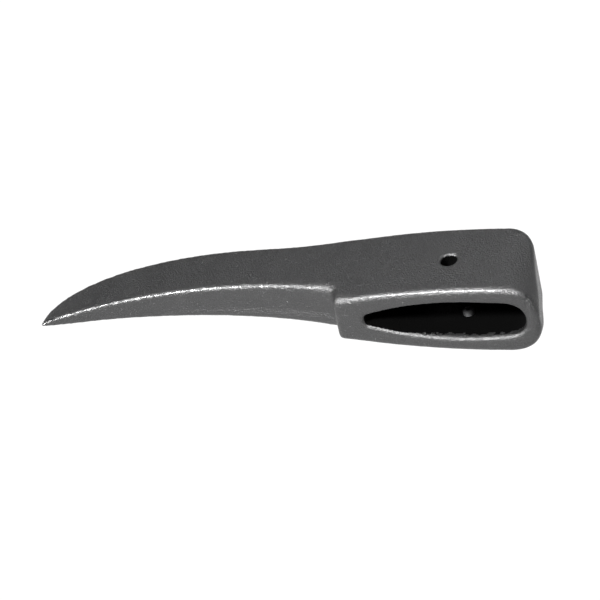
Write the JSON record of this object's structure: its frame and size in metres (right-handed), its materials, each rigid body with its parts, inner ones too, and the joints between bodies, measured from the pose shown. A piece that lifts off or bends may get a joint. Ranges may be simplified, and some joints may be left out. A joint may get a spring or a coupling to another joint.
{
  "type": "socketed pick tooth",
  "caption": "Curved pointed steel tooth with an egg-shaped socket across its heel, a cross hole in one cheek and a set screw in the other to grip the shank",
  "frame": {"origin": "middle of the socket's mouth, on the mouth face", "axes": "+X along the tooth to its heel (the tip is at -X), +Y into the socket, +Z through the thickness, so the tooth lies on its lower cheek"},
  "size_m": [0.2111, 0.0453, 0.032],
  "materials": {
    "black_paint": "charcoal satin paint over a gritty forged skin",
    "screw_steel": "black oxide"
  },
  "bodies": {
    "tooth": {"tooth_body": "black_paint"},
    "screw": {"set_screw": "screw_steel"}
  },
  "joints": [
    {"name": "set_screw_travel", "type": "slide", "parent": "tooth", "child": "screw", "axis": [0, 0, 1], "range_m": [-0.0018, 0.004]}
  ]
}
